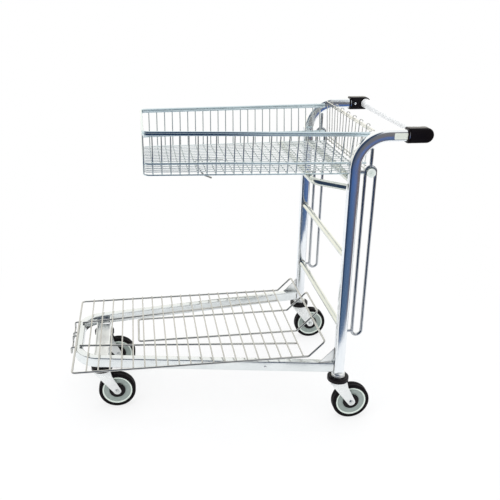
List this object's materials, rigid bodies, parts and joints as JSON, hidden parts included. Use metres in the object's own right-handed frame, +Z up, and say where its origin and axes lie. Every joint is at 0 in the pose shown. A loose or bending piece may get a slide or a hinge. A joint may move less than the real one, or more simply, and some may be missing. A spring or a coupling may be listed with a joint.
{
  "type": "two-tier shop trolley",
  "caption": "Nesting two-tier shop trolley: shallow tapered wire basket with a rear flap over a lifting wire deck, bent tube uprights, white push handle and four swivel castors.",
  "frame": {"origin": "on the floor, under the middle of the overall box", "axes": "+X towards the push handle, +Y to the pusher's right hand, +Z up"},
  "size_m": [1.1085, 0.641, 0.982],
  "materials": {
    "bright_zinc": "bright zinc-plated tube and rod, mirror-like with soft blue reflections",
    "galvanised_steel": "pale grey galvanised sheet and tube, satin",
    "chrome_wire": "bright plated wire with a warm cream tint",
    "black_plastic": "fine-grained moulded black plastic",
    "black_rubber": "matt black rubber",
    "grey_green_plastic": "moulded grey-green nylon",
    "white_plastic": "smooth white plastic sleeve"
  },
  "bodies": {
    "frame": {"left_upright": "bright_zinc", "right_upright": "bright_zinc", "lower_cross_bar": "bright_zinc", "upper_cross_bar": "bright_zinc", "basket_cross_bar": "bright_zinc", "basket_support_bow": "bright_zinc", "left_rear_loop": "bright_zinc", "right_rear_loop": "bright_zinc", "left_rail_bolt": "bright_zinc", "right_rail_bolt": "bright_zinc", "left_cap_screw": "bright_zinc", "right_cap_screw": "bright_zinc", "chassis_rail": "galvanised_steel", "front_castor_bridge": "galvanised_steel", "left_gusset": "galvanised_steel", "right_gusset": "galvanised_steel", "left_loop_spool": "galvanised_steel", "right_loop_spool": "galvanised_steel", "basket": "chrome_wire", "basket_catch": "chrome_wire", "gate_hinge_rod": "chrome_wire", "left_handle_cap": "black_plastic", "right_handle_cap": "black_plastic", "push_handle": "white_plastic", "front_left_castor_cup": "galvanised_steel", "front_left_buffer_ring": "black_rubber", "front_left_swivel_pin": "bright_zinc", "front_right_castor_cup": "galvanised_steel", "front_right_buffer_ring": "black_rubber", "front_right_swivel_pin": "bright_zinc", "rear_left_castor_cup": "galvanised_steel", "rear_left_buffer_ring": "black_rubber", "rear_left_swivel_pin": "bright_zinc", "rear_right_castor_cup": "galvanised_steel", "rear_right_buffer_ring": "black_rubber", "rear_right_swivel_pin": "bright_zinc"},
    "deck": {"deck": "chrome_wire"},
    "gate": {"basket_gate": "chrome_wire"},
    "front_left_swivel": {"front_left_fork": "galvanised_steel", "front_left_axle_bolt": "bright_zinc"},
    "front_left_wheel": {"front_left_wheel_hub": "black_plastic", "front_left_wheel_rim": "grey_green_plastic", "front_left_tyre": "black_rubber"},
    "front_right_swivel": {"front_right_fork": "galvanised_steel", "front_right_axle_bolt": "bright_zinc"},
    "front_right_wheel": {"front_right_wheel_hub": "black_plastic", "front_right_wheel_rim": "grey_green_plastic", "front_right_tyre": "black_rubber"},
    "rear_left_swivel": {"rear_left_fork": "galvanised_steel", "rear_left_axle_bolt": "bright_zinc"},
    "rear_left_wheel": {"rear_left_wheel_hub": "black_plastic", "rear_left_wheel_rim": "grey_green_plastic", "rear_left_tyre": "black_rubber"},
    "rear_right_swivel": {"rear_right_fork": "galvanised_steel", "rear_right_axle_bolt": "bright_zinc"},
    "rear_right_wheel": {"rear_right_wheel_hub": "black_plastic", "rear_right_wheel_rim": "grey_green_plastic", "rear_right_tyre": "black_rubber"}
  },
  "joints": [
    {"name": "deck_lift", "type": "hinge", "parent": "frame", "child": "deck", "pos_m": [-0.5366, 0, 0.2138], "axis": [0, -1, 0], "range_deg": [0, 12]},
    {"name": "gate_swing", "type": "hinge", "parent": "frame", "child": "gate", "pos_m": [0.3864, 0, 0.969], "axis": [0, 1, 0], "range_deg": [0, 75]},
    {"name": "front_left_castor_swivel", "type": "hinge", "parent": "frame", "child": "front_left_swivel", "pos_m": [-0.4516, -0.126, 0], "axis": [0, 0, 1], "continuous": true},
    {"name": "front_left_wheel_spin", "type": "hinge", "parent": "front_left_swivel", "child": "front_left_wheel", "pos_m": [-0.4036, -0.126, 0.0625], "axis": [0, 1, 0], "continuous": true},
    {"name": "front_right_castor_swivel", "type": "hinge", "parent": "frame", "child": "front_right_swivel", "pos_m": [-0.4516, 0.126, 0], "axis": [0, 0, 1], "continuous": true},
    {"name": "front_right_wheel_spin", "type": "hinge", "parent": "front_right_swivel", "child": "front_right_wheel", "pos_m": [-0.4036, 0.126, 0.0625], "axis": [0, 1, 0], "continuous": true},
    {"name": "rear_left_castor_swivel", "type": "hinge", "parent": "frame", "child": "rear_left_swivel", "pos_m": [0.3274, -0.285, 0], "axis": [0, 0, 1], "continuous": true},
    {"name": "rear_left_wheel_spin", "type": "hinge", "parent": "rear_left_swivel", "child": "rear_left_wheel", "pos_m": [0.3754, -0.285, 0.0625], "axis": [0, 1, 0], "continuous": true},
    {"name": "rear_right_castor_swivel", "type": "hinge", "parent": "frame", "child": "rear_right_swivel", "pos_m": [0.3274, 0.285, 0], "axis": [0, 0, 1], "continuous": true},
    {"name": "rear_right_wheel_spin", "type": "hinge", "parent": "rear_right_swivel", "child": "rear_right_wheel", "pos_m": [0.3754, 0.285, 0.0625], "axis": [0, 1, 0], "continuous": true}
  ]
}
